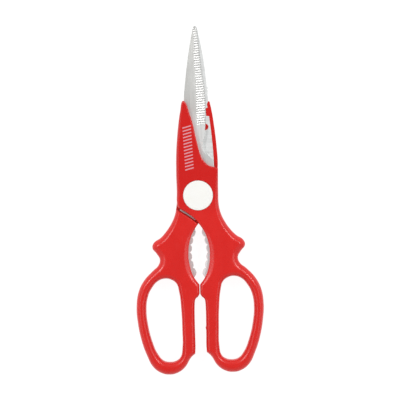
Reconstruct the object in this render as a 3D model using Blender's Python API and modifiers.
"""Poultry shears: two steel blades, each with its own red moulded handle, on one screwed pivot.

Outlines are in millimetres, in the plane of the blades: the pivot is at (0, 0) and +Y runs to the tips.
Each half is drawn as the front half. The rear half is the same drawing turned half a turn about the
shears' long axis, so heights run from the outer face of one half to the outer face of the other.
"""

import math

import bmesh
import bpy

MM = 0.001

# Heights through the shears.
THICKNESS = 11.2
BLADE_THICKNESS = 2.2
BLADE_GAP = 0.3
BLADE_INNER = (THICKNESS + BLADE_GAP) / 2
BLADE_OUTER = BLADE_INNER + BLADE_THICKNESS
EDGE_THICKNESS = 0.5
FIT = 0.3

# Pivot.
SPINDLE_RADIUS = 3.0
RUNNING_GAP = 0.1
SCREW_RADIUS = 1.7
THREAD_GAP = 0.15
HEAD_RADIUS = 5.0
HEAD_HEIGHT = 0.9
WASHER_RADIUS = 5.4
WASHER_HEIGHT = 0.5
SPRING_RISE = 0.2
STACK_GAP = 0.2
BORE_RADIUS = 6.0
CAP_RADIUS = 9.0
CAP_HEIGHT = 1.2
CAP_SEAT_DEPTH = 1.45
SKIRT_OUTER = 5.7
SKIRT_INNER = 5.3
SKIRT_DEPTH = 1.0
CAP_CHAMFER = 0.3
SLOT_WIDTH = 1.2
SLOT_DEPTH = 0.45

# Handle.
REAR_HANDLE_DROP = 0.9
REAR_SHOULDER_WIDER = 0.4
STOP_X = 0.2

# Nutcracker teeth on the tang: scallops on the inside of one round arc.
TOOTH_COUNT = 6
TOOTH_PITCH = 4.5
TOOTH_HEIGHT = 1.2
TOOTH_STEPS = 6
TOOTH_ROOT_RADIUS = 29.4
TOOTH_ARC_CENTRE = (-23.85, -34.4)

# Locking plug of the moulding, through a hole in the blade.
PLUG_CENTRE = (-5.1, 41.4)
PLUG_RADIUS = 1.85

CURVE_STEPS = 4
ROUND_STEPS = 48
WELD = 1e-6


def corner(x, y):
    return (x, y, "VECTOR")


# Sharpened side of the blade, from the tip down to the bone notch and on past the pivot.
BLADE_EDGE = [
    (-0.15, 102.4), (0.6, 101.6), (1.1, 99.8), (3.0, 80.6), (5.4, 58.6), corner(5.2, 42.8),
    (4.8, 38.0), (3.45, 30.0), (4.1, 26.4), (6.8, 24.0), (9.0, 21.4), (10.0, 17.0), (10.1, 8.0),
    (10.2, -2.0), (11.3, -9.2),
]
# Tang inside the handle: outer side, round end, and the side next to the nutcracker opening.
TANG_OUTER = [(12.6, -14.5), (13.3, -24.0), (12.6, -38.0), (10.4, -49.0), (8.9, -57.0), (8.8, -73.4)]
TANG_END = [(7.2, -75.2), (5.6, -73.4)]
TANG_INNER = [(5.6, -62.0), (4.9, -53.5), (3.6, -50.2)]
TANG_NECK = [(2.0, -18.0), (-0.6, -13.7), (-4.6, -9.9), (-8.4, -5.6), (-10.1, 1.0)]
# Spine under the cover, with the notch that locks the moulding, and the bare spine up to the tip.
SPINE_COVERED = [
    (-10.1, 14.0), (-9.9, 23.0), (-9.1, 34.5), corner(-7.65, 47.9), corner(-5.9, 48.1),
    corner(-5.65, 52.4), corner(-6.95, 53.2), corner(-6.4, 54.8),
]
FRONT_SPINE_BARE = [corner(-7.6, 57.0), (-7.35, 61.2), (-6.6, 68.4)]
REAR_SPINE_BARE = [corner(-7.4, 57.2), corner(-7.0, 60.1)]
SCALER_TOOTH_COUNT = 3
SCALER_PITCH = 1.45
SCALER_DEPTH = 0.45
REAR_SPINE_ABOVE_TEETH = [corner(-6.65, 66.0)]
SPINE_TOP = [(-4.75, 82.8), (-1.85, 98.8), (-1.15, 101.6)]

# Width of the ground bevel: (y, x where it starts on the flat face, x of the cutting edge).
GRIND_STATIONS = [
    (104.0, -1.4, 0.5), (99.8, -1.5, 1.1), (80.6, -1.1, 3.0), (58.6, 0.1, 5.4), (42.9, 0.15, 5.2),
]

# Moulding: the cover over the blade, down its free side to the point next to the nutcracker opening.
FRONT_COVER_SIDE = [
    (-6.05, 55.5), (-6.6, 56.4), (-7.5, 57.2), (-8.5, 57.0), (-9.1, 55.7), (-9.65, 52.1), (-10.8, 45.5),
    (-12.65, 27.2), (-13.0, 14.0), (-12.8, 2.0), (-12.9, -3.5), (-12.4, -6.4),
]
REAR_COVER_SIDE = [
    (-6.05, 55.5), (-6.6, 56.3), (-7.4, 56.9), (-8.0, 56.6), (-8.35, 55.3), (-9.05, 52.0), (-10.1, 45.4),
    (-12.0, 27.2), (-12.35, 18.5), (-11.8, 12.0), (-11.8, 2.0), (-11.8, -4.5),
]
COVER_FOOT = [corner(-11.2, -7.9), (-5.9, -11.1), (-1.75, -14.6), corner(-0.15, -16.6)]
OPENING_SIDE = [(3.0, -21.2), (5.1, -26.0), (6.5, -35.0), (5.4, -44.2), (3.3, -49.6)]
STOP = [corner(STOP_X, -54.0), corner(STOP_X, -59.4), (1.15, -61.05), (2.65, -62.45), (3.15, -64.5)]
# Finger loop outside: from the foot of the strap, round the bottom and up to the notch for the finger.
LOOP_OUTSIDE = [
    corner(3.3, -92.0), corner(3.5, -94.7), (5.8, -96.7), (10.15, -103.2), (14.9, -106.3), (19.1, -107.05),
    (23.7, -106.2), (28.95, -102.4), (32.75, -95.1), (35.7, -86.5), (38.05, -74.0), (38.45, -66.0),
    (37.0, -56.6), (33.5, -49.85), (28.25, -44.3),
]
SHOULDER_OUTSIDE = [(24.5, -41.1), (23.4, -37.5), (25.35, -33.8), (27.8, -30.3), (26.85, -27.25), (22.75, -24.4)]
FRONT_NECK_OUTSIDE = [(18.85, -20.35), (15.8, -15.8), (13.7, -11.35), (12.45, -5.9)]
REAR_NECK_OUTSIDE = [(19.0, -20.6), (16.1, -16.0), (14.2, -11.5), (13.2, -6.4)]
COVER_BACK = [(12.25, 2.0), corner(12.35, 16.2)]
COVER_DIAGONAL = [
    (9.7, 17.0), (7.2, 17.75), (4.6, 19.85), (2.45, 23.1), (1.0, 27.6), (-0.9, 36.3), (-2.4, 43.3), (-4.0, 48.8),
]
LOOP_INSIDE = [
    (20.5, -49.0), (17.0, -49.8), (13.95, -52.3), (12.7, -56.4), (11.45, -68.0), (11.1, -80.0),
    (11.2, -91.0), (12.45, -96.7), (15.1, -98.85), (18.6, -99.5), (22.6, -98.6), (26.1, -94.6),
    (29.1, -87.6), (31.6, -77.4), (32.5, -68.0), (31.6, -60.3), (29.1, -54.8), (24.95, -50.3),
]
# The handle is full thickness only below this line; above it the other half's cover lies.
STEP_LINE = [corner(24.0, -4.0), corner(12.9, -8.6), (6.65, -12.6), (1.7, -16.2), corner(-2.0, -19.2)]
STEP_FAR = [corner(-30.0, -19.2), corner(-30.0, 70.0), corner(24.0, 70.0)]

RED_PLASTIC = (0.72, 0.02, 0.02, 1.0)
BLADE_STEEL = (0.62, 0.62, 0.60, 1.0)
PIVOT_STEEL = (0.45, 0.45, 0.46, 1.0)
WHITE_PLASTIC = (0.95, 0.95, 0.93, 1.0)


def clear_scene():
    for obj in list(bpy.data.objects):
        bpy.data.objects.remove(obj)


def make_collection(name):
    collection = bpy.data.collections.new(name)
    bpy.context.scene.collection.children.link(collection)
    return collection


def make_material(name, colour, roughness, metallic):
    material = bpy.data.materials.new(name)
    material.use_nodes = True
    shader = material.node_tree.nodes["Principled BSDF"]
    shader.inputs["Base Color"].default_value = colour
    shader.inputs["Roughness"].default_value = roughness
    shader.inputs["Metallic"].default_value = metallic
    material.diffuse_color = colour
    return material


def make_half(name, turned_over):
    """An empty on the pivot axis that carries one half of the shears."""
    half = bpy.data.objects.new(name, None)
    parts.objects.link(half)
    if turned_over:
        half.rotation_euler = (0, math.pi, 0)
        half.location = (0, 0, THICKNESS * MM)
    return half


def place(name, mesh, half, material=None):
    """An object on a half. Without a material it is a cutter."""
    obj = bpy.data.objects.new(name, mesh)
    if material:
        parts.objects.link(obj)
        mesh.materials.append(material)
    else:
        cutters.objects.link(obj)
        obj.hide_render = True
        obj.display_type = "WIRE"
    obj.parent = half
    return obj


def circle(centre, radius):
    angles = [2 * math.pi * step / ROUND_STEPS for step in range(ROUND_STEPS)]
    return [corner(centre[0] + radius * math.cos(a), centre[1] + radius * math.sin(a)) for a in angles]


def flat_mesh(name, outlines, low, high, grow=0.0):
    """Closed mesh of flat outlines between two heights. Outlines inside the first one are holes."""
    curve = bpy.data.curves.new(name, "CURVE")
    curve.dimensions = "2D"
    curve.fill_mode = "BOTH"
    curve.resolution_u = CURVE_STEPS
    curve.extrude = (high - low) / 2 * MM
    curve.offset = grow * MM
    for outline in outlines:
        spline = curve.splines.new("BEZIER")
        spline.bezier_points.add(len(outline) - 1)
        spline.use_cyclic_u = True
        for knot, (x, y, *kind) in zip(spline.bezier_points, outline):
            knot.co = (x * MM, y * MM, 0)
            knot.handle_left_type = knot.handle_right_type = kind[0] if kind else "AUTO"
    carrier = bpy.data.objects.new(name, curve)
    cutters.objects.link(carrier)
    bpy.context.view_layer.update()
    mesh = bpy.data.meshes.new_from_object(carrier.evaluated_get(bpy.context.evaluated_depsgraph_get()))
    bpy.data.objects.remove(carrier)
    shape = bmesh.new()
    shape.from_mesh(mesh)
    bmesh.ops.remove_doubles(shape, verts=shape.verts, dist=WELD)
    bmesh.ops.translate(shape, verts=shape.verts, vec=(0, 0, (low + high) / 2 * MM))
    bmesh.ops.recalc_face_normals(shape, faces=shape.faces)
    shape.to_mesh(mesh)
    shape.free()
    return mesh


def turned(name, profile, half, material=None, closed=False):
    """Turned piece from a profile of (radius, height), which runs down its outer side."""
    mesh = bpy.data.meshes.new(name)
    points = [(radius * MM, 0, height * MM) for radius, height in profile]
    edges = [(index, index + 1) for index in range(len(points) - 1)]
    if closed:
        edges.append((len(points) - 1, 0))
    mesh.from_pydata(points, edges, [])
    obj = place(name, mesh, half, material)
    screw = obj.modifiers.new("turn", "SCREW")
    screw.steps = screw.render_steps = ROUND_STEPS
    screw.use_merge_vertices = True
    screw.merge_threshold = WELD
    return obj


def cut(obj, cutter):
    boolean = obj.modifiers.new(cutter.name, "BOOLEAN")
    boolean.operation = "DIFFERENCE"
    boolean.object = cutter


def tooth_scallops():
    """The tang's edge along the nutcracker opening, upwards."""
    pitch = TOOTH_PITCH / (TOOTH_ROOT_RADIUS - TOOTH_HEIGHT)
    points = []
    for step in range(TOOTH_COUNT * TOOTH_STEPS + 1):
        rise = math.sqrt(abs(math.sin(math.pi * step / TOOTH_STEPS)))
        angle = pitch * (step / TOOTH_STEPS - TOOTH_COUNT / 2)
        radius = TOOTH_ROOT_RADIUS - TOOTH_HEIGHT * rise
        x = TOOTH_ARC_CENTRE[0] + radius * math.cos(angle)
        y = TOOTH_ARC_CENTRE[1] + radius * math.sin(angle)
        points.append(corner(x, y))
    return points


def scaler_teeth():
    """Saw teeth on the rear blade's spine just above the cover."""
    (x_low, y_low, _), (x_high, y_high, _) = REAR_SPINE_BARE[-1], REAR_SPINE_ABOVE_TEETH[0]
    lean = (x_high - x_low) / (y_high - y_low)
    points = []
    for tooth in range(SCALER_TOOTH_COUNT):
        y_root = y_low + (tooth + 0.5) * SCALER_PITCH
        y_point = y_root + SCALER_PITCH * 0.7
        points.append(corner(x_low + lean * (y_root - y_low) + 0.1, y_root))
        points.append(corner(x_low + lean * (y_point - y_low) - SCALER_DEPTH, y_point))
    return points


def blade_outlines(bare_spine):
    """The blade's outline and its two holes."""
    around = BLADE_EDGE + TANG_OUTER + TANG_END + TANG_INNER + tooth_scallops() + TANG_NECK
    pivot_hole = circle((0, 0), SPINDLE_RADIUS + RUNNING_GAP)
    plug_hole = circle(PLUG_CENTRE, PLUG_RADIUS + FIT)
    return [around + SPINE_COVERED + bare_spine + SPINE_TOP, pivot_hole, plug_hole]


def grind_mesh(name):
    """Wedge that takes the ground bevel off a blade: a loft through its stations."""
    slope_run = 1.5
    head_room = 1.0
    edge_height = BLADE_INNER + EDGE_THICKNESS
    shape = bmesh.new()
    rings = []
    for y, x_start, x_edge in GRIND_STATIONS:
        slope = (BLADE_OUTER - edge_height) / (x_edge - x_start)
        section = [
            (x_start - head_room / slope, BLADE_OUTER + head_room),
            (x_edge + slope_run, edge_height - slope_run * slope),
            (x_edge + slope_run, BLADE_OUTER + head_room),
        ]
        rings.append([shape.verts.new((x * MM, y * MM, z * MM)) for x, z in section])
    for above, below in zip(rings, rings[1:]):
        for corner_index in range(3):
            following = (corner_index + 1) % 3
            shape.faces.new((above[corner_index], above[following], below[following], below[corner_index]))
    shape.faces.new(rings[0])
    shape.faces.new(rings[-1][::-1])
    bmesh.ops.recalc_face_normals(shape, faces=shape.faces)
    mesh = bpy.data.meshes.new(name)
    shape.to_mesh(mesh)
    shape.free()
    return mesh


def make_blade(side, half, outlines):
    blade = place(f"{side}_blade", flat_mesh(f"{side}_blade", outlines, BLADE_INNER, BLADE_OUTER), half, steel)
    cut(blade, place(f"{side}_grind_cutter", grind_mesh(f"{side}_grind_cutter"), half))


def make_handle(side, half, blade_shape, cover_side, neck, drop=0.0, wider=0.0):
    """The moulding of one half: cover, neck, shoulder and finger loop in one piece."""
    loop = [(x, y - drop, *kind) for x, y, *kind in LOOP_OUTSIDE]
    shoulder = [(x + wider, y - drop) for x, y in SHOULDER_OUTSIDE]
    finger_hole = [(x, y - drop) for x, y in LOOP_INSIDE]
    outside = cover_side + COVER_FOOT + OPENING_SIDE + STOP
    outside += loop + shoulder + neck + COVER_BACK + COVER_DIAGONAL
    mesh = flat_mesh(f"{side}_handle", [outside, finger_hole], 0, THICKNESS)
    handle = place(f"{side}_handle", mesh, half, red_plastic)
    under_cover = flat_mesh(f"{side}_step_cutter", [STEP_LINE + STEP_FAR], -1, BLADE_INNER)
    cut(handle, place(f"{side}_step_cutter", under_cover, half))
    pocket = flat_mesh(f"{side}_pocket_cutter", blade_shape, BLADE_INNER - FIT, BLADE_OUTER + FIT, grow=FIT)
    cut(handle, place(f"{side}_pocket_cutter", pocket, half))
    seat = THICKNESS - CAP_SEAT_DEPTH
    bore = [
        (0, THICKNESS + 1), (CAP_RADIUS + FIT, THICKNESS + 1), (CAP_RADIUS + FIT, seat),
        (BORE_RADIUS, seat), (BORE_RADIUS, BLADE_INNER - 1), (0, BLADE_INNER - 1),
    ]
    cut(handle, turned(f"{side}_bore_cutter", bore, half))


def make_cap(side, half):
    face = THICKNESS - CAP_HEIGHT
    profile = [
        (0, THICKNESS), (CAP_RADIUS - CAP_CHAMFER, THICKNESS), (CAP_RADIUS, THICKNESS - CAP_CHAMFER),
        (CAP_RADIUS, face), (SKIRT_OUTER, face), (SKIRT_OUTER, face - SKIRT_DEPTH),
        (SKIRT_INNER, face - SKIRT_DEPTH), (SKIRT_INNER, face), (0, face),
    ]
    turned(f"{side}_cap", profile, half, white_plastic)


def make_slot_cutter(name, height):
    bpy.ops.mesh.primitive_cube_add(size=1)
    cutter = bpy.context.object
    cutter.name = cutter.data.name = name
    cutter.data.transform(cutter.matrix_world)
    cutter.scale = (3 * HEAD_RADIUS * MM, SLOT_WIDTH * MM, 2 * SLOT_DEPTH * MM)
    cutter.location = (0, 0, height * MM)
    cutter.hide_render = True
    cutter.display_type = "WIRE"
    for collection in cutter.users_collection:
        collection.objects.unlink(cutter)
    cutters.objects.link(cutter)
    return cutter


def make_pivot(half):
    """Screw and sleeve nut, with a flat washer in front and a cupped spring washer behind."""
    hole = SPINDLE_RADIUS + RUNNING_GAP
    washer_low = BLADE_OUTER + STACK_GAP
    washer_high = washer_low + WASHER_HEIGHT
    ring = [(WASHER_RADIUS, washer_high), (WASHER_RADIUS, washer_low), (hole, washer_low), (hole, washer_high)]
    turned("front_washer", ring, half, pivot_steel, closed=True)

    spring_high = THICKNESS - BLADE_OUTER - STACK_GAP
    spring_low = spring_high - SPRING_RISE
    cup = [
        (WASHER_RADIUS, spring_low), (WASHER_RADIUS, spring_low - WASHER_HEIGHT / 2),
        (hole, spring_high - WASHER_HEIGHT / 2), (hole, spring_high),
    ]
    turned("rear_spring_washer", cup, half, pivot_steel, closed=True)

    head_low = washer_high + STACK_GAP
    head_high = head_low + HEAD_HEIGHT
    flange_high = spring_low - WASHER_HEIGHT / 2 - STACK_GAP
    flange_low = flange_high - HEAD_HEIGHT
    screw = [
        (0, head_high), (HEAD_RADIUS, head_high), (HEAD_RADIUS, head_low), (SCREW_RADIUS, head_low),
        (SCREW_RADIUS, flange_high), (0, flange_high),
    ]
    screw_obj = turned("pivot_screw", screw, half, pivot_steel)
    cut(screw_obj, make_slot_cutter("screw_slot_cutter", head_high))

    thread = SCREW_RADIUS + THREAD_GAP
    barrel_top = BLADE_OUTER + STACK_GAP / 2
    barrel = [
        (SPINDLE_RADIUS, barrel_top), (SPINDLE_RADIUS, flange_high), (HEAD_RADIUS, flange_high),
        (HEAD_RADIUS, flange_low), (thread, flange_low), (thread, barrel_top),
    ]
    barrel_obj = turned("pivot_barrel", barrel, half, pivot_steel, closed=True)
    cut(barrel_obj, make_slot_cutter("barrel_slot_cutter", flange_low))


def shade(collection):
    for obj in collection.objects:
        if obj.type == "MESH":
            obj.data.shade_smooth()
            obj.data.set_sharp_from_angle(angle=math.radians(30))


clear_scene()
parts = make_collection("poultry_shears")
cutters = make_collection("poultry_shears_cutters")
red_plastic = make_material("red_plastic", RED_PLASTIC, 0.3, 0.0)
steel = make_material("blade_steel", BLADE_STEEL, 0.35, 1.0)
pivot_steel = make_material("pivot_steel", PIVOT_STEEL, 0.4, 1.0)
white_plastic = make_material("white_plastic", WHITE_PLASTIC, 0.35, 0.0)

front_half = make_half("front_half", turned_over=False)
rear_half = make_half("rear_half", turned_over=True)
front_blade = blade_outlines(FRONT_SPINE_BARE)
rear_blade = blade_outlines(REAR_SPINE_BARE + scaler_teeth() + REAR_SPINE_ABOVE_TEETH)
make_blade("front", front_half, front_blade)
make_blade("rear", rear_half, rear_blade)
make_handle("front", front_half, front_blade, FRONT_COVER_SIDE, FRONT_NECK_OUTSIDE)
make_handle(
    "rear", rear_half, rear_blade, REAR_COVER_SIDE, REAR_NECK_OUTSIDE, REAR_HANDLE_DROP, REAR_SHOULDER_WIDER
)
make_cap("front", front_half)
make_cap("rear", rear_half)
make_pivot(front_half)
shade(parts)
